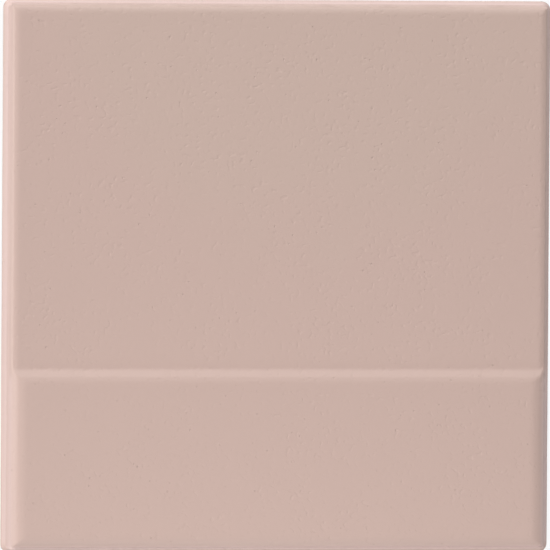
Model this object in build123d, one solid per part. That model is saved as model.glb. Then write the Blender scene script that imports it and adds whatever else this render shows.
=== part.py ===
"""Glazed relief wall tile, lying face up, with a thicker plinth strip along its lower edge."""
import math
import os

from build123d import *

# All lengths are in millimetres and all angles in degrees.
# +Z is up and the back rests on Z = 0.
# +Y is the edge that is uppermost once the tile is on a wall.
# The thicker strip runs along the -Y edge.

# Pressed body, the part below the flanks, with a rim that falls outward from their foot
WIDTH = 150.0
HEIGHT = 150.0
CORNER_R = 2.4
RIM_Z = 4.5
RIM_WIDTH = 1.2
RIM_FALL = 1.3
RIM_ARRIS_R = 0.8

# Flanks rise from the rim to both faces at one angle above the level.
# An arris is eased by a curve that starts at its drop below the sharp edge, along the slope,
# and runs out at its reach beyond the edge, over the face.
FLANK_ANGLE = 81.0

# Plain upper panel
PANEL_Z = 9.0
PANEL_ARRIS_DROP = 1.0
PANEL_ARRIS_REACH = 2.1

# Thicker strip along the lower edge, measured to the foot of its step
STRIP_HEIGHT = 50.0
STRIP_RISE = 1.4
STRIP_SIDE_ARRIS_DROP = 3.0
STRIP_SIDE_ARRIS_REACH = 3.7
STRIP_FOOT_ARRIS_DROP = 2.2
STRIP_FOOT_ARRIS_REACH = 2.6

# Sloping step between the panel and the strip
STEP_ANGLE = 28.0
STEP_CREST_DROP = 1.2
STEP_CREST_REACH = 1.3

# Keyed back, a square grid of shallow fields between ribs
KEY_DEPTH = 0.7
KEY_COUNT = 6
KEY_MARGIN = 9.0
KEY_RIB = 3.0
KEY_CORNER_R = 2.0
BACK_ARRIS = 0.5

# Depth to which the relief blocks reach down inside the body
OVERLAP = 2.0

# Edges of the relief, inside the rim, and the line of the step's foot
RELIEF_HALF = WIDTH / 2 - RIM_WIDTH
RELIEF_TOP = HEIGHT / 2 - RIM_WIDTH
RELIEF_FOOT = RIM_WIDTH - HEIGHT / 2
VALLEY_Y = STRIP_HEIGHT - HEIGHT / 2
STRIP_Z = PANEL_Z + STRIP_RISE


def run_of(rise, angle):
    """Level run of a slope that climbs by rise at angle above the level."""
    return rise / math.tan(math.radians(angle))


def body():
    """Flat pressed body with rounded corners, a falling rim and an eased back."""
    outline = RectangleRounded(WIDTH, HEIGHT, CORNER_R)
    block = extrude(outline, RIM_Z)
    top = block.faces().sort_by(Axis.Z)[-1]
    block = chamfer(top.edges(), RIM_WIDTH, RIM_FALL, reference=top)
    rim_edges = block.edges().filter_by_position(Axis.Z, RIM_Z - RIM_FALL, RIM_Z - RIM_FALL)
    block = fillet(rim_edges, RIM_ARRIS_R)
    return chamfer(block.faces().sort_by(Axis.Z)[0].edges(), BACK_ARRIS)


def relief_block(low_y, high_y, top_z):
    """Upright block inside the rim, before its flanks are cut."""
    outline = RectangleRounded(2 * RELIEF_HALF, high_y - low_y, CORNER_R - RIM_WIDTH)
    place = Plane.XY.offset(RIM_Z - OVERLAP) * Pos(0, (low_y + high_y) / 2)
    return extrude(place * outline, top_z - RIM_Z + OVERLAP)


def waste(top_z, angle, drop, reach):
    """What lies outside one flank and its eased arris, along X, foot at Y = 0, outside at +Y."""
    lean = math.radians(angle)
    edge = (-run_of(top_z - RIM_Z, angle), top_z)
    foot = (0.0, RIM_Z)
    arris_low = (edge[0] + drop * math.cos(lean), top_z - drop * math.sin(lean))
    arris_high = (edge[0] - reach, top_z)
    clear = top_z - RIM_Z
    outer = [
        arris_high,
        (arris_high[0], top_z + clear),
        (clear, top_z + clear),
        (clear, RIM_Z),
        foot,
    ]
    profile = Polyline(foot, arris_low)
    profile += Bezier(arris_low, edge, arris_high)
    profile += Polyline(*outer)
    return extrude(Plane.YZ * make_face(profile), max(WIDTH, HEIGHT), both=True)


def cut_sides(block, top_z, drop, reach):
    """Cut the two side flanks of a relief block."""
    side = Pos(0, RELIEF_HALF, 0) * waste(top_z, FLANK_ANGLE, drop, reach)
    block = block - Rot(0, 0, 90) * side
    return block - Rot(0, 0, -90) * side


def upper_panel():
    """Plain raised panel with mitred flanks, reaching under the strip."""
    block = relief_block(VALLEY_Y - STRIP_HEIGHT / 2, RELIEF_TOP, PANEL_Z)
    block = cut_sides(block, PANEL_Z, PANEL_ARRIS_DROP, PANEL_ARRIS_REACH)
    top = waste(PANEL_Z, FLANK_ANGLE, PANEL_ARRIS_DROP, PANEL_ARRIS_REACH)
    return block - Pos(0, RELIEF_TOP, 0) * top


def plinth_strip():
    """Thicker strip with mitred flanks, whose step slopes down into the panel."""
    step_foot = VALLEY_Y + run_of(PANEL_Z - RIM_Z, STEP_ANGLE)
    block = relief_block(RELIEF_FOOT, step_foot, STRIP_Z)
    block = cut_sides(block, STRIP_Z, STRIP_SIDE_ARRIS_DROP, STRIP_SIDE_ARRIS_REACH)
    step = waste(STRIP_Z, STEP_ANGLE, STEP_CREST_DROP, STEP_CREST_REACH)
    foot = waste(STRIP_Z, FLANK_ANGLE, STRIP_FOOT_ARRIS_DROP, STRIP_FOOT_ARRIS_REACH)
    block = block - Pos(0, step_foot, 0) * step
    return block - Rot(0, 0, 180) * Pos(0, -RELIEF_FOOT, 0) * foot


def key_fields():
    """Shallow fields pressed into the back between the keying ribs."""
    span_x = WIDTH - 2 * KEY_MARGIN
    span_y = HEIGHT - 2 * KEY_MARGIN
    pitch_x = (span_x + KEY_RIB) / KEY_COUNT
    pitch_y = (span_y + KEY_RIB) / KEY_COUNT
    field = RectangleRounded(pitch_x - KEY_RIB, pitch_y - KEY_RIB, KEY_CORNER_R)
    fields = Sketch() + GridLocations(pitch_x, pitch_y, KEY_COUNT, KEY_COUNT) * field
    return extrude(fields, KEY_DEPTH)


def tile():
    """Whole tile as one solid."""
    return body() + upper_panel() + plinth_strip() - key_fields()


os.makedirs("parts", exist_ok=True)
export_step(tile(), "parts/tile.step")
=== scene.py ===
"""Looks of the glazed relief wall tile: its glaze-rounded form, its glaze and biscuit, light and camera."""
import math

import bmesh
import bpy
from mathutils import Matrix, Vector, noise


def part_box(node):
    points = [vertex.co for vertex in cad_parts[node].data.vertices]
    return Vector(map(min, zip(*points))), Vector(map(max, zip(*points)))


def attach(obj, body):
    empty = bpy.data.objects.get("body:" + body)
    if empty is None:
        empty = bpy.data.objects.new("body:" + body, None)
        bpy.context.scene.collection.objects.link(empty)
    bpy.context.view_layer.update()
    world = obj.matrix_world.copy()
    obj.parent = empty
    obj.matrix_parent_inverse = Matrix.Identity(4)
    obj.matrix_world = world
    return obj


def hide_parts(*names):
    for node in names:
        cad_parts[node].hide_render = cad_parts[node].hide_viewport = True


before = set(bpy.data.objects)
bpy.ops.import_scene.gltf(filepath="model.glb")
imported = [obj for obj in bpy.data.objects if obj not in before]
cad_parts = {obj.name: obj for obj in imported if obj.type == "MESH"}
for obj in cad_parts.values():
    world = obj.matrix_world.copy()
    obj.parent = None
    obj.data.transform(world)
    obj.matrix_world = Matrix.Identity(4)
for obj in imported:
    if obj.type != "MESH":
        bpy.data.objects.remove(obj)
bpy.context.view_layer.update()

# Lengths here are in millimetres, as a tile maker writes them, and MM turns them to metres.
MM = 0.001

# Driving sizes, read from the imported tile
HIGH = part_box("tile")[1]
HALF_WIDTH = HIGH[0] / MM
HALF_HEIGHT = HIGH[1] / MM
STRIP_Z = HIGH[2] / MM

# Pressed body below the flanks
CORNER_R = 2.4
RIM_Z = 4.5
RIM_WIDTH = 1.2
RIM_FALL = 1.3
RIM_ARRIS_R = 0.8
BACK_ARRIS = 0.5

# Relief inside the rim; each arris as its drop down the slope and its reach over the face
FLANK_ANGLE = 81.0
STRIP_RISE = 1.4
PANEL_Z = STRIP_Z - STRIP_RISE
PANEL_ARRIS = (1.0, 2.1)
STRIP_SIDE_ARRIS = (3.0, 3.7)
STRIP_FOOT_ARRIS = (2.2, 2.6)
STRIP_HEIGHT = 50.0
STEP_ANGLE = 28.0
STEP_CREST = (1.2, 1.3)
VALLEY_Y = STRIP_HEIGHT - HALF_HEIGHT
FOOT_X = HALF_WIDTH - RIM_WIDTH
FOOT_Y = HALF_HEIGHT - RIM_WIDTH
FOOT_CORNER_R = CORNER_R - RIM_WIDTH

# How far the glaze rounds what the press left sharp; in the valley of the step this fades in
# from a little inside the foot of the side flanks
RIDGE_EASE = 0.35
VALLEY_EASE = 0.3
VALLEY_EASE_FROM = 0.5
VALLEY_EASE_OVER = 1.5
CREASE_IN = 0.06
CREASE_OUT = 0.3

# Coat of glaze, its rolled edge low on the wall, and its waves, which fade in from the crease
# and on the wall lean inward, so that the tile keeps its size
GLAZE_COAT = 0.12
GLAZE_EDGE_Z = 1.3
GLAZE_ROLL = 0.2
WAVE_LENGTH = 9.0
WAVE_DEPTH = 0.03
WAVE_FADE = 2.0
WALL_WAVE_INSET = 0.5

# Bands of darker and paler glaze, partly from glaze pooling and thinning and mostly painted shade and
# painted light: how far in from the foot of the flanks, and half-width
TOP_FLANK_BAND = (0.35, 0.4)
FOOT_FLANK_BAND = (0.35, 0.55)
SIDE_FLANK_BAND = (0.5, 0.45)
RIGHT_ARRIS_BAND = (1.2, 0.5)
RIM_BAND = (-0.4 * RIM_WIDTH, RIM_WIDTH / 2)

# Where the foot's band ends outside the flank, and lengths over which the bands fade in
FOOT_BAND_END = 0.2
FOOT_FADE = 3.0
STRIP_FADE = 4.0
TOP_RIM_FADE = 0.4

# Share of the pale tone, for thinning glaze and painted light, on the rim, how the other bands compare with
# it, and painted shade in the valley of the step
PALE_AND_LIT_SHARE = 0.42
FOOT_FLANK_SHARE = 1.3
SIDE_FLANK_SHARE = 0.7
VALLEY_SHADE = 0.1

# Beige patch at the top of the panel: its centre, just past the top edge, the distances from it
# between which the patch fades, and how uneven its border is
PATCH_CENTRE = (8.0, 78.0, 9.0)
PATCH_FADE = (70.0, 100.0)
PATCH_UNEVEN = 40.0

# Dents of the orange peel, pinholes and the grain of the biscuit, by their spacing, reach and depth
DENT_CELL = 1.1
DENT_DEPTH = 0.058
PINHOLE_CELL = 3.4
PINHOLE_RIM = 0.36
PINHOLE_FLOOR = 0.08
PINHOLE_DEPTH = 0.1
GRAIN_DEPTH = 0.03

# Keyed back; the wall of a field steps in and down from its mouth, 0.7 down in all
KEY_COUNT = 6
KEY_MARGIN = 9.0
KEY_RIB = 3.0
KEY_CORNER_R = 2.0
KEY_CORNER_CUTS = 6
KEY_WALL = ((0.12, 0.05), (0.1, 0.15), (0.12, 0.35), (0.15, 0.12), (0.25, 0.03))

# Fineness of the mesh, where its cells change size round the step, and the length over which
# the side columns shift from the panel's flanks to the strip's
FLANK_CUTS = 7
ARC_CUTS = 12
CREASE_CUTS = 5
RIM_CUTS = 6
BACK_CUTS = 4
FACE_CELL = 1.5
WALL_CELL = 0.6
STEP_CELL = 0.22
ABOVE_VALLEY = 1.0
BELOW_CREST = 0.5
COLUMN_SHIFT = 5.0
SHARP_ANGLE = 50.0


def arris_of(base, angle, top, arris):
    """Where the curve of an arris starts and ends, and its share down the slope, as level runs."""
    lean = math.radians(angle)
    edge = (top - base) / math.tan(lean)
    down = arris[0] * math.cos(lean)
    return edge - down, edge + arris[1], down


def slope_height(run, base, angle, top, arris):
    """Height at a level run from the foot of a slope that ends in an eased arris at top."""
    start, end, down = arris_of(base, angle, top, arris)
    lean = math.radians(angle)
    if run >= end:
        return top
    if run <= start:
        return base + run * math.tan(lean)
    past = run - start
    along = past / (down + math.sqrt(down ** 2 + (arris[1] - down) * past))
    return top - arris[0] * math.sin(lean) * (1 - along) ** 2


def arris_run(along, base, angle, top, arris):
    """Level run of the point at a share along the curve of an arris."""
    start, _, down = arris_of(base, angle, top, arris)
    return start + 2 * down * along + (arris[1] - down) * along ** 2


def flank_runs(top, arris):
    """Runs inward from a flank's foot at which the mesh is cut, up the flank and round its arris."""
    start = arris_of(RIM_Z, FLANK_ANGLE, top, arris)[0]
    runs = []
    for cut in range(FLANK_CUTS):
        runs.append(CREASE_IN + (start - CREASE_IN) * cut / FLANK_CUTS)
    for cut in range(ARC_CUTS + 1):
        runs.append(arris_run(cut / ARC_CUTS, RIM_Z, FLANK_ANGLE, top, arris))
    runs.append(runs[-1] + FACE_CELL / 3)
    return runs


def lower_of(first, second, top):
    """The lower of two slopes, with the ridge between them eased by the glaze."""
    ease = min(RIDGE_EASE, 2 * (top - min(first, second)))
    if ease <= 0:
        return min(first, second)
    overlap = max(ease - abs(first - second), 0.0)
    return min(first, second) - overlap ** 2 / (4 * ease)


def higher_of(first, second, ease):
    """The higher of two slopes, with the valley between them filled by the glaze."""
    if ease <= 0:
        return max(first, second)
    overlap = max(ease - abs(first - second), 0.0)
    return max(first, second) + overlap ** 2 / (4 * ease)


def relief_height(x, y):
    """Height of the glazed relief over a point of the plan inside the rim."""
    from_side = FOOT_X - abs(x)
    from_top = FOOT_Y - y
    from_foot = FOOT_Y + y
    down_step = VALLEY_Y - y
    panel = lower_of(
        slope_height(from_side, RIM_Z, FLANK_ANGLE, PANEL_Z, PANEL_ARRIS),
        slope_height(from_top, RIM_Z, FLANK_ANGLE, PANEL_Z, PANEL_ARRIS),
        PANEL_Z,
    )
    strip = lower_of(
        slope_height(from_side, RIM_Z, FLANK_ANGLE, STRIP_Z, STRIP_SIDE_ARRIS),
        slope_height(from_foot, RIM_Z, FLANK_ANGLE, STRIP_Z, STRIP_FOOT_ARRIS),
        STRIP_Z,
    )
    step = slope_height(down_step, PANEL_Z, STEP_ANGLE, STRIP_Z, STEP_CREST)
    strip = lower_of(strip, step, STRIP_Z)
    inward = min(max((from_side - VALLEY_EASE_FROM) / VALLEY_EASE_OVER, 0.0), 1.0)
    return higher_of(panel, strip, VALLEY_EASE * inward)


def smooth_step(value):
    """Ease from 0 to 1 as value goes from 0 to 1."""
    value = min(max(value, 0.0), 1.0)
    return value * value * (3 - 2 * value)


def row_lines():
    """Y of every cut across the relief, from the top edge down to the foot."""
    crest_end = VALLEY_Y - arris_of(PANEL_Z, STEP_ANGLE, STRIP_Z, STEP_CREST)[1]
    rows = [FOOT_Y - run for run in flank_runs(PANEL_Z, PANEL_ARRIS)]
    foot_rows = [run - FOOT_Y for run in flank_runs(STRIP_Z, STRIP_FOOT_ARRIS)]
    rows += spread(rows[-1], VALLEY_Y + ABOVE_VALLEY, FACE_CELL)
    rows += spread(rows[-1], crest_end - BELOW_CREST, STEP_CELL)
    rows += spread(rows[-1], foot_rows[-1], FACE_CELL)
    rows += reversed(foot_rows[:-1])
    return rows


def spread(start, end, cell):
    """Even steps from start to end, without the start."""
    count = max(1, round(abs(end - start) / cell))
    return [start + (end - start) * step / count for step in range(1, count + 1)]


def column_x(column, face_cells, y):
    """X of one cut along the relief, which draws in from the panel's flank to the strip's."""
    panel_runs = flank_runs(PANEL_Z, PANEL_ARRIS)
    strip_runs = flank_runs(STRIP_Z, STRIP_SIDE_ARRIS)
    into_strip = smooth_step((VALLEY_Y + ABOVE_VALLEY - y) / COLUMN_SHIFT)
    runs = [a + (b - a) * into_strip for a, b in zip(panel_runs, strip_runs)]
    last = len(runs) - 1
    total = 2 * last + face_cells
    if column <= last:
        return runs[column] - FOOT_X
    if column >= total - last:
        return FOOT_X - runs[total - column]
    inner = FOOT_X - runs[last]
    return inner * (2 * (column - last) / face_cells - 1)


def round_plan_corner(x, y):
    """Draw the square corner of the plan onto its round one, as a square grid onto a disc."""
    core_x = FOOT_X - FOOT_CORNER_R
    core_y = FOOT_Y - FOOT_CORNER_R
    out_x = (abs(x) - core_x) / FOOT_CORNER_R
    out_y = (abs(y) - core_y) / FOOT_CORNER_R
    if out_x <= 0 or out_y <= 0:
        return x, y
    reach = max(out_x, out_y)
    turn = min(out_x, out_y) / reach * math.pi / 4
    if out_y > out_x:
        turn = math.pi / 2 - turn
    new_x = core_x + reach * math.cos(turn) * FOOT_CORNER_R
    new_y = core_y + reach * math.sin(turn) * FOOT_CORNER_R
    return math.copysign(new_x, x), math.copysign(new_y, y)


def wave(x, y, z):
    """Gentle unevenness of the fired glaze, between -1 and 1."""
    return noise.noise(Vector((x, y, z)) / WAVE_LENGTH)


def make_relief(bm):
    """A grid cut along every bend of the relief and lifted to its height."""
    rows = row_lines()
    flank = len(flank_runs(PANEL_Z, PANEL_ARRIS)) - 1
    face_cells = round(2 * FOOT_X / FACE_CELL)
    columns = 2 * flank + face_cells
    grid = bmesh.ops.create_grid(bm, x_segments=columns, y_segments=len(rows) - 1, size=1.0)
    for vert in grid["verts"]:
        column = round((vert.co.x + 1) / 2 * columns)
        row = round((1 - vert.co.y) / 2 * (len(rows) - 1))
        x, y = round_plan_corner(column_x(column, face_cells, rows[row]), rows[row])
        inside = min(FOOT_X - abs(x), FOOT_Y - abs(y))
        depth = WAVE_DEPTH * smooth_step((inside - CREASE_IN) / WAVE_FADE)
        vert.co = (x, y, relief_height(x, y) + depth * wave(x, y, 0.0))


def boundary(bm):
    """Edges that border one face only."""
    return [edge for edge in bm.edges if edge.is_boundary]


def outward(vert):
    """Direction from the core of the plan out through a vertex on its rounded outline."""
    core_x = FOOT_X - FOOT_CORNER_R
    core_y = FOOT_Y - FOOT_CORNER_R
    core = Vector((min(max(vert.co.x, -core_x), core_x), min(max(vert.co.y, -core_y), core_y)))
    return core, (vert.co.xy - core).normalized()


def draw_skirt(bm, edges, offset, level):
    """Extrude the open rim to an offset outside the flank's foot, at a new level."""
    made = bmesh.ops.extrude_edge_only(bm, edges=edges)["geom"]
    uneven = WAVE_DEPTH * smooth_step(offset / RIM_WIDTH)
    for vert in [item for item in made if isinstance(item, bmesh.types.BMVert)]:
        core, way = outward(vert)
        spot = core + way * (FOOT_CORNER_R + offset)
        spot += way * uneven * (wave(spot.x, spot.y, level) - WALL_WAVE_INSET)
        vert.co = (spot.x, spot.y, level)
    return [item for item in made if isinstance(item, bmesh.types.BMEdge)]


def rim_profile():
    """Offset and level of each ring, from the filled crease over the falling rim to the wall."""
    fall = RIM_FALL / RIM_WIDTH
    flank_top = RIM_Z + CREASE_IN * math.tan(math.radians(FLANK_ANGLE))
    rings = []
    for step in range(1, CREASE_CUTS + 1):
        along = step / CREASE_CUTS
        back = 1 - along
        offset = along ** 2 * CREASE_OUT - back ** 2 * CREASE_IN
        level = back ** 2 * flank_top + 2 * along * back * RIM_Z
        rings.append((offset, level + along ** 2 * (RIM_Z - CREASE_OUT * fall)))
    lean = math.atan(fall)
    middle_z = RIM_Z - RIM_FALL - RIM_ARRIS_R * math.tan((math.pi / 2 - lean) / 2)
    for cut in range(RIM_CUTS + 1):
        turn = lean + (math.pi / 2 - lean) * cut / RIM_CUTS
        offset = RIM_WIDTH - RIM_ARRIS_R * (1 - math.sin(turn))
        rings.append((offset, middle_z + RIM_ARRIS_R * math.cos(turn)))
    for level in spread(middle_z, GLAZE_EDGE_Z + GLAZE_ROLL, WALL_CELL):
        rings.append((RIM_WIDTH, level))
    return rings


def make_walls(bm):
    """Crease, falling rim and glazed wall, drawn ring by ring from the foot of the flanks."""
    edges = boundary(bm)
    for offset, level in rim_profile():
        edges = draw_skirt(bm, edges, offset, level)
    return edges


def make_biscuit_edge(bm, edges):
    """The rolled edge of the glaze and the bare clay below it, down to the border of the back."""
    for inset, drop in ((GLAZE_COAT / 4, 0.6 * GLAZE_ROLL), (GLAZE_COAT, GLAZE_ROLL)):
        edges = draw_skirt(bm, edges, RIM_WIDTH - inset, GLAZE_EDGE_Z + GLAZE_ROLL - drop)
    glazed = set(bm.faces)
    bare = RIM_WIDTH - GLAZE_COAT
    edges = draw_skirt(bm, edges, bare, (GLAZE_EDGE_Z + BACK_ARRIS) / 2)
    for cut in range(BACK_CUTS + 1):
        turn = cut / BACK_CUTS * math.pi / 2
        inset = BACK_ARRIS * (1 - math.cos(turn))
        edges = draw_skirt(bm, edges, bare - inset, BACK_ARRIS * (1 - math.sin(turn)))
    for face in bm.faces:
        if face not in glazed:
            face.material_index = 1
    return edges


def press_key_fields(bm):
    """Shallow rounded fields between the ribs of the back; returns their mouths' edges."""
    pitch = (2 * (HALF_WIDTH - KEY_MARGIN) + KEY_RIB) / KEY_COUNT
    field = pitch - KEY_RIB
    mouths = []
    for column in range(KEY_COUNT):
        for row in range(KEY_COUNT):
            middle = (KEY_COUNT - 1) / 2
            place = Matrix.Translation(((column - middle) * pitch, (row - middle) * pitch, 0.0))
            made = bmesh.ops.create_grid(bm, x_segments=1, y_segments=1, size=field / 2, matrix=place)
            corners = made["verts"]
            rounded = bmesh.ops.bevel(
                bm,
                geom=corners,
                offset=KEY_CORNER_R,
                offset_type="OFFSET",
                segments=KEY_CORNER_CUTS,
                profile=0.5,
                affect="VERTICES",
                material=-1,
            )
            floor = rounded["verts"][0].link_faces[0]
            mouths += list(floor.edges)
            for thickness, depth in KEY_WALL:
                pressed = bmesh.ops.inset_region(
                    bm,
                    faces=[floor],
                    thickness=thickness,
                    depth=depth,
                    use_boundary=True,
                    use_even_offset=True,
                )
                for face in pressed["faces"]:
                    face.material_index = 1
            floor.material_index = 1
    return mouths


def make_back(bm, rim_edges):
    """The ribbed back, filled between its outer border and the mouths of the fields."""
    before = set(bm.faces)
    mouths = press_key_fields(bm)
    bmesh.ops.triangle_fill(bm, use_beauty=True, edges=rim_edges + mouths, normal=(0.0, 0.0, -1.0))
    for face in bm.faces:
        if face not in before:
            face.material_index = 1


def beyond_foot(x, y):
    """Distance of a point of the plan outside the foot of the flanks, negative inside it."""
    past_x = abs(x) - FOOT_X + FOOT_CORNER_R
    past_y = abs(y) - FOOT_Y + FOOT_CORNER_R
    if past_x <= 0 or past_y <= 0:
        return max(past_x, past_y) - FOOT_CORNER_R
    return math.hypot(past_x, past_y) - FOOT_CORNER_R


def swell(distance, width):
    """A soft rise that is 1 at no distance and has gone at about twice the width."""
    return math.exp(-(distance / width) ** 2)


def in_band(inward, band):
    """1 in the middle of a band that runs along the foot of the flanks, and 0 well off it."""
    return swell(inward - band[0], band[1])


def pooled_and_shaded(x, y):
    """How much the glaze is darkened: in the crease for glaze pooling and painted shade, and as painted
    shade in the valley of the step and on the top flank.
    """
    outside = beyond_foot(x, y)
    above_foot = smooth_step((y + FOOT_Y) / FOOT_FADE)
    # The crease's dark line is glaze pooling and painted shade; the valley and the top flank band are
    # painted shade
    crease = swell(outside - CREASE_OUT / 3, CREASE_OUT / 2) * above_foot
    valley = swell(y - VALLEY_Y, VALLEY_EASE) if outside < 0 else 0.0
    top_flank = in_band(FOOT_Y - y, TOP_FLANK_BAND)
    return max(crease, VALLEY_SHADE * valley, top_flank)


def bared_and_lit(x, y):
    """How much the glaze is paled: where it thins over the rim, with a painted highlight making it most at
    the top, and as painted light beside the strip on the right, on the foot flank and on the strip's flanks
    and right arris.
    """
    outside = beyond_foot(x, y)
    above_foot = smooth_step((y + FOOT_Y) / FOOT_FADE)
    # Painted light: past the thinning glaze over the rim, the top rim's extra is a painted highlight, and
    # the rest lightens the rim beside the strip on the right, the foot flank, the strip's side flanks and
    # its right arris
    beside_strip = smooth_step((VALLEY_Y - y) / STRIP_FADE) * smooth_step(y + FOOT_Y)
    on_top_rim = smooth_step((y - FOOT_Y) / TOP_RIM_FADE)
    right_of_strip = beside_strip * smooth_step(x / FOOT_X)
    over_rim = in_band(-outside, RIM_BAND) * (1 + on_top_rim + right_of_strip)
    foot_flank = in_band(y + FOOT_Y, FOOT_FLANK_BAND) if outside < FOOT_BAND_END else 0.0
    side_flank = in_band(FOOT_X - abs(x), SIDE_FLANK_BAND) * beside_strip
    right_arris = in_band(FOOT_X - x, RIGHT_ARRIS_BAND) * beside_strip
    return max(
        over_rim * above_foot,
        FOOT_FLANK_SHARE * foot_flank,
        SIDE_FLANK_SHARE * side_flank,
        right_arris,
    )


def mark_glaze(bm):
    """Note on the mesh where the glaze is darkened, for glaze pooling and painted shade, and where it is
    paled, for thinning glaze and painted light.
    """
    pool_shade_mask = bm.verts.layers.float.new("glaze_pool_and_shade")
    thin_lit_mask = bm.verts.layers.float.new("glaze_thin_and_lit")
    for vert in bm.verts:
        x, y, z = vert.co
        if z < GLAZE_EDGE_Z:
            continue
        above_edge = smooth_step((z - GLAZE_EDGE_Z) / RIM_FALL)
        vert[pool_shade_mask] = pooled_and_shaded(x, y)
        vert[thin_lit_mask] = PALE_AND_LIT_SHARE * bared_and_lit(x, y) * above_edge


def build_tile():
    """The whole tile as one closed mesh, in metres."""
    bm = bmesh.new()
    make_relief(bm)
    edges = make_walls(bm)
    edges = make_biscuit_edge(bm, edges)
    make_back(bm, edges)
    mark_glaze(bm)
    bmesh.ops.recalc_face_normals(bm, faces=bm.faces)
    bmesh.ops.scale(bm, vec=(MM, MM, MM), verts=bm.verts)
    mesh = bpy.data.meshes.new("glazed_tile")
    bm.to_mesh(mesh)
    bm.free()
    mesh.shade_smooth()
    mesh.set_sharp_from_angle(angle=math.radians(SHARP_ANGLE))
    tile = bpy.data.objects.new("glazed_tile", mesh)
    bpy.context.collection.objects.link(tile)
    return tile


def linear(hex_colour):
    """Linear RGBA of an sRGB hex colour."""
    channels = []
    for start in (1, 3, 5):
        value = int(hex_colour[start:start + 2], 16) / 255
        channels.append(value / 12.92 if value <= 0.04045 else ((value + 0.055) / 1.055) ** 2.4)
    return (*channels, 1.0)


def add_node(tree, kind, settings=None, links=None):
    """Add one node, set its inputs or properties by name, and link its inputs."""
    node = tree.nodes.new(kind)
    for name, value in (settings or {}).items():
        if isinstance(name, int) or name in node.inputs:
            node.inputs[name].default_value = value
        else:
            setattr(node, name, value)
    for name, socket in (links or {}).items():
        tree.links.new(socket, node.inputs[name])
    return node


def new_material(name):
    """An empty material and its node tree."""
    material = bpy.data.materials.new(name)
    material.use_nodes = True
    material.node_tree.nodes.clear()
    return material, material.node_tree


def place_in_mm(tree):
    """The place on the tile in millimetres, which every pattern is sized by."""
    place = add_node(tree, "ShaderNodeTexCoord")
    in_mm = add_node(
        tree, "ShaderNodeVectorMath", {"operation": "SCALE", "Scale": 1 / MM}, {0: place.outputs["Object"]}
    )
    return in_mm.outputs["Vector"]


def pits(tree, spot, cell, rim, floor, patches):
    """Round pits strewn in patches: 1 on the floor of each and 0 outside its rim."""
    strewn = add_node(
        tree, "ShaderNodeTexVoronoi", {"Scale": 1 / cell, "Randomness": 1.0}, {"Vector": spot}
    )
    pit = add_node(
        tree,
        "ShaderNodeMapRange",
        {"interpolation_type": "SMOOTHSTEP", "From Min": rim / cell, "From Max": floor / cell},
        {"Value": strewn.outputs["Distance"]},
    )
    kept = add_node(
        tree, "ShaderNodeMath", {"operation": "MULTIPLY"}, {0: pit.outputs["Result"], 1: patches}
    )
    return kept.outputs[0]


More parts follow.
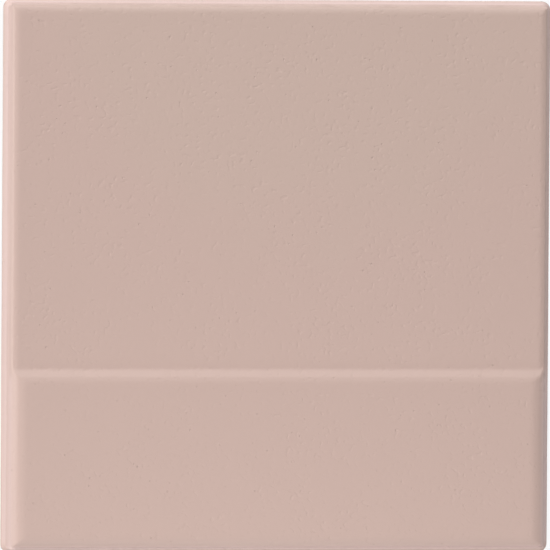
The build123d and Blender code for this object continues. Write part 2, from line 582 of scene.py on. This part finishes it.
def satin_glaze():
    """Fired satin-matt glaze: a dusty pink with a soft sheen, faint orange peel and few pinholes."""
    material, tree = new_material("satin_matt_glaze")
    spot = place_in_mm(tree)

    # A beige patch high on the panel drifts, with an uneven border, into a pinker tone round it
    uneven = add_node(tree, "ShaderNodeTexNoise", {"Scale": 1 / 25.0, "Detail": 2.0}, {"Vector": spot})
    from_patch = add_node(
        tree, "ShaderNodeVectorMath", {"operation": "DISTANCE", 1: PATCH_CENTRE}, {0: spot}
    )
    drawn_out = add_node(
        tree,
        "ShaderNodeMath",
        {"operation": "MULTIPLY_ADD", 1: PATCH_UNEVEN},
        {0: uneven.outputs["Fac"], 2: from_patch.outputs["Value"]},
    )
    drift = add_node(
        tree,
        "ShaderNodeMapRange",
        {"interpolation_type": "SMOOTHSTEP", "From Min": PATCH_FADE[0], "From Max": PATCH_FADE[1]},
        {"Value": drawn_out.outputs[0]},
    )
    tone = add_node(
        tree,
        "ShaderNodeMix",
        {"data_type": "RGBA", 6: linear("#C9B0A5"), 7: linear("#CAAFA5")},
        {0: drift.outputs["Result"]},
    )

    # The glaze darkens in broken lines where it pools and where shade is painted, and pales where it thins
    # and where light is painted
    broken = add_node(tree, "ShaderNodeTexNoise", {"Scale": 1 / 9.0, "Detail": 3.0}, {"Vector": spot})
    run_on = add_node(
        tree,
        "ShaderNodeMapRange",
        {"From Min": 0.45, "From Max": 0.62, "To Min": 0.05, "To Max": 0.3},
        {"Value": broken.outputs["Fac"]},
    )
    pool_shade_mask = add_node(tree, "ShaderNodeAttribute", {"attribute_name": "glaze_pool_and_shade"})
    pooled_and_shaded = add_node(
        tree,
        "ShaderNodeMath",
        {"operation": "MULTIPLY"},
        {0: pool_shade_mask.outputs["Fac"], 1: run_on.outputs["Result"]},
    )
    # Darker tone for glaze pooling and painted shade
    pooled_and_shaded_tone = add_node(
        tree,
        "ShaderNodeMix",
        {"data_type": "RGBA", 7: linear("#A98D82")},
        {0: pooled_and_shaded.outputs[0], 6: tone.outputs[2]},
    )
    # Pale tone for thinning glaze, painted light and a painted highlight
    thin_lit_mask = add_node(tree, "ShaderNodeAttribute", {"attribute_name": "glaze_thin_and_lit"})
    pale_and_lit_tone = add_node(
        tree,
        "ShaderNodeMix",
        {"data_type": "RGBA", 7: linear("#E4CBC8")},
        {0: thin_lit_mask.outputs["Fac"], 6: pooled_and_shaded_tone.outputs[2]},
    )

    # Pinholes left by gas in the firing, with painted shade darkening their floor, plainest in patches
    patch_noise = add_node(tree, "ShaderNodeTexNoise", {"Scale": 1 / 12.0, "Detail": 2.0}, {"Vector": spot})
    patches = add_node(
        tree,
        "ShaderNodeMapRange",
        {"From Min": 0.40, "From Max": 0.60, "To Min": 0.5, "To Max": 1.0},
        {"Value": patch_noise.outputs["Fac"]},
    )
    pinholes = pits(
        tree, spot, PINHOLE_CELL, PINHOLE_RIM, PINHOLE_FLOOR, patches.outputs["Result"]
    )
    painted_pit_shade = add_node(
        tree, "ShaderNodeMath", {"operation": "MULTIPLY", 1: 0.14}, {0: pinholes}
    )
    colour = add_node(
        tree,
        "ShaderNodeMix",
        {"data_type": "RGBA", 7: linear("#8A6E64")},
        {0: painted_pit_shade.outputs[0], 6: pale_and_lit_tone.outputs[2]},
    )

    # Orange peel as scattered dents with smooth glaze between them, deepest in the same patches
    turned = add_node(
        tree,
        "ShaderNodeVectorRotate",
        {"rotation_type": "EULER_XYZ", "Rotation": (0.4, 0.7, 0.3)},
        {"Vector": spot},
    )
    peel = add_node(
        tree,
        "ShaderNodeTexNoise",
        {"Scale": 1 / DENT_CELL, "Detail": 0.5},
        {"Vector": turned.outputs["Vector"]},
    )
    dents = add_node(
        tree,
        "ShaderNodeMapRange",
        {"interpolation_type": "SMOOTHSTEP", "From Min": 0.55, "From Max": 0.8},
        {"Value": peel.outputs["Fac"]},
    )
    patchy_dents = add_node(
        tree,
        "ShaderNodeMath",
        {"operation": "MULTIPLY"},
        {0: dents.outputs["Result"], 1: patches.outputs["Result"]},
    )
    dent_bump = add_node(
        tree,
        "ShaderNodeBump",
        {"invert": True, "Strength": 1.0, "Distance": DENT_DEPTH * MM},
        {"Height": patchy_dents.outputs[0]},
    )
    pinhole_bump = add_node(
        tree,
        "ShaderNodeBump",
        {"invert": True, "Strength": 1.0, "Distance": PINHOLE_DEPTH * MM},
        {"Height": pinholes, "Normal": dent_bump.outputs["Normal"]},
    )
    shader = add_node(
        tree,
        "ShaderNodeBsdfPrincipled",
        {"Roughness": 0.57, "IOR": 1.5},
        {"Base Color": colour.outputs[2], "Normal": pinhole_bump.outputs["Normal"]},
    )
    add_node(tree, "ShaderNodeOutputMaterial", {}, {"Surface": shader.outputs["BSDF"]})
    return material


def biscuit():
    """Pressed and fired white clay without glaze: chalk-matt, finely grained, faintly clouded."""
    material, tree = new_material("biscuit_clay")
    spot = place_in_mm(tree)

    # Faint clouds from the kiln and small darker grains of the clay body
    clouds = add_node(tree, "ShaderNodeTexNoise", {"Scale": 1 / 22.0, "Detail": 4.0}, {"Vector": spot})
    tone = add_node(
        tree,
        "ShaderNodeMix",
        {"data_type": "RGBA", 6: linear("#E9E0D3"), 7: linear("#DCD0C0")},
        {0: clouds.outputs["Fac"]},
    )
    strewn = add_node(tree, "ShaderNodeTexVoronoi", {"Scale": 1 / 1.1}, {"Vector": spot})
    grains = add_node(
        tree,
        "ShaderNodeMapRange",
        {"From Min": 0.24, "From Max": 0.10, "To Max": 0.5},
        {"Value": strewn.outputs["Distance"]},
    )
    colour = add_node(
        tree,
        "ShaderNodeMix",
        {"data_type": "RGBA", 7: linear("#B7A48F")},
        {0: grains.outputs["Result"], 6: tone.outputs[2]},
    )

    # Sandy grain of the pressed face
    grain = add_node(tree, "ShaderNodeTexNoise", {"Scale": 1 / 0.5, "Detail": 4.0}, {"Vector": spot})
    grain_bump = add_node(
        tree,
        "ShaderNodeBump",
        {"Strength": 1.0, "Distance": GRAIN_DEPTH * MM},
        {"Height": grain.outputs["Fac"]},
    )
    shader = add_node(
        tree,
        "ShaderNodeBsdfPrincipled",
        {"Roughness": 0.92, "IOR": 1.45},
        {"Base Color": colour.outputs[2], "Normal": grain_bump.outputs["Normal"]},
    )
    add_node(tree, "ShaderNodeOutputMaterial", {}, {"Surface": shader.outputs["BSDF"]})
    return material


def seen_directly(tree):
    """1 for a ray from the camera or off gloss or glass, and 0 for one that gathers soft light."""
    ray = add_node(tree, "ShaderNodeLightPath")
    seen = add_node(
        tree,
        "ShaderNodeMath",
        {"operation": "ADD"},
        {0: ray.outputs["Is Camera Ray"], 1: ray.outputs["Is Glossy Ray"]},
    )
    seen = add_node(
        tree,
        "ShaderNodeMath",
        {"operation": "ADD", "use_clamp": True},
        {0: seen.outputs[0], 1: ray.outputs["Is Transmission Ray"]},
    )
    return seen.outputs[0]


def pale_floor():
    """Matt pale card, shown white to the camera and in gloss, with part of its shading kept."""
    material, tree = new_material("pale_card")
    seen = seen_directly(tree)
    paint = add_node(
        tree,
        "ShaderNodeMix",
        {"data_type": "RGBA", 6: linear("#CCCCCC"), 7: linear("#FAFAFA")},
        {0: seen},
    )
    card = add_node(tree, "ShaderNodeBsdfDiffuse", {}, {"Color": paint.outputs[2]})
    glow = add_node(tree, "ShaderNodeEmission", {"Color": (1, 1, 1, 1), "Strength": 1.0})
    share = add_node(tree, "ShaderNodeMath", {"operation": "MULTIPLY", 1: 0.85}, {0: seen})
    mixed = add_node(
        tree,
        "ShaderNodeMixShader",
        {},
        {0: share.outputs[0], 1: card.outputs["BSDF"], 2: glow.outputs["Emission"]},
    )
    add_node(tree, "ShaderNodeOutputMaterial", {}, {"Surface": mixed.outputs["Shader"]})
    return material


def lay_floor():
    """A level sheet just under the tile, wide enough for every view."""
    half_width = 12.0
    clearance = 0.1 * MM
    bm = bmesh.new()
    bmesh.ops.create_grid(bm, x_segments=1, y_segments=1, size=half_width)
    bmesh.ops.translate(bm, vec=(0, 0, -clearance), verts=bm.verts)
    mesh = bpy.data.meshes.new("floor")
    bm.to_mesh(mesh)
    bm.free()
    floor = bpy.data.objects.new("floor", mesh)
    bpy.context.collection.objects.link(floor)
    floor.data.materials.append(pale_floor())


def set_world(strength):
    """Even white surroundings that light the tile and look white behind it and in its gloss."""
    world = bpy.data.worlds.new("studio_walls")
    bpy.context.scene.world = world
    world.use_nodes = True
    tree = world.node_tree
    tree.nodes.clear()
    level = add_node(
        tree, "ShaderNodeMapRange", {"To Min": strength, "To Max": 1.0}, {"Value": seen_directly(tree)}
    )
    sky = add_node(
        tree, "ShaderNodeBackground", {"Color": (1, 1, 1, 1)}, {"Strength": level.outputs["Result"]}
    )
    add_node(tree, "ShaderNodeOutputWorld", {}, {"Surface": sky.outputs["Background"]})


def soft_box(name, azimuth, elevation, distance, width, height, power):
    """A diffused lamp aimed at the tile, in degrees, metres and watts; azimuth 0 is the right side."""
    lamp = bpy.data.lights.new(name, "AREA")
    lamp.shape = "RECTANGLE"
    lamp.size = width
    lamp.size_y = height
    lamp.energy = power
    turn = math.radians(azimuth)
    lift = math.radians(elevation)
    way = Vector((math.cos(turn) * math.cos(lift), math.sin(turn) * math.cos(lift), math.sin(lift)))
    holder = bpy.data.objects.new(name, lamp)
    holder.location = way * distance
    holder.rotation_euler = (-way).to_track_quat("-Z", "Y").to_euler()
    holder.visible_camera = False
    bpy.context.collection.objects.link(holder)


def set_lamps():
    """Soft studio light: from low on the left and from beyond the top edge, faint from right and foot."""
    soft_box("left_box", 172, 14, 1.12, 1.38, 0.43, 11.1)
    soft_box("top_box", 88, 36, 1.2, 0.8, 0.8, 11.2)
    soft_box("right_box", 0, 20, 1.3, 1.0, 0.5, 1.2)
    soft_box("foot_box", -90, 30, 0.4, 0.28, 0.28, 0.84)


def aim_camera():
    """A long lens far above the tile, a little to its left, as the photograph was taken."""
    lean_left = math.radians(9.0)
    lean_up = math.radians(1.7)
    roll = math.radians(0.36)
    pixels_per_mm = 3.682
    photo_px = 550
    centre_px = (274.8, 276.1)
    distance = 3.0
    toward = Vector((
        -math.sin(lean_left),
        math.sin(lean_up) * math.cos(lean_left),
        math.cos(lean_left) * math.cos(lean_up),
    ))
    right = Vector((0, 1, 0)).cross(toward).normalized()
    up = toward.cross(right)
    turned_right = right * math.cos(roll) + up * math.sin(roll)
    turned_up = up * math.cos(roll) - right * math.sin(roll)
    middle = photo_px / 2
    target = turned_right * (middle - centre_px[0]) + turned_up * (centre_px[1] - middle)
    target *= MM / pixels_per_mm
    camera = bpy.data.cameras.new("camera")
    camera.sensor_width = 36.0
    camera.lens = camera.sensor_width * distance / (photo_px * MM / pixels_per_mm)
    camera.clip_end = 100.0
    holder = bpy.data.objects.new("camera", camera)
    pose = Matrix((turned_right, turned_up, toward)).transposed().to_4x4()
    pose.translation = target + toward * distance
    holder.matrix_world = pose
    bpy.context.collection.objects.link(holder)
    bpy.context.scene.camera = holder


tile = build_tile()
tile.data.materials.append(satin_glaze())
tile.data.materials.append(biscuit())
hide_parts("tile")
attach(tile, "root")

lay_floor()
set_world(0.1)
set_lamps()
aim_camera()
bpy.context.scene.view_settings.view_transform = "Standard"
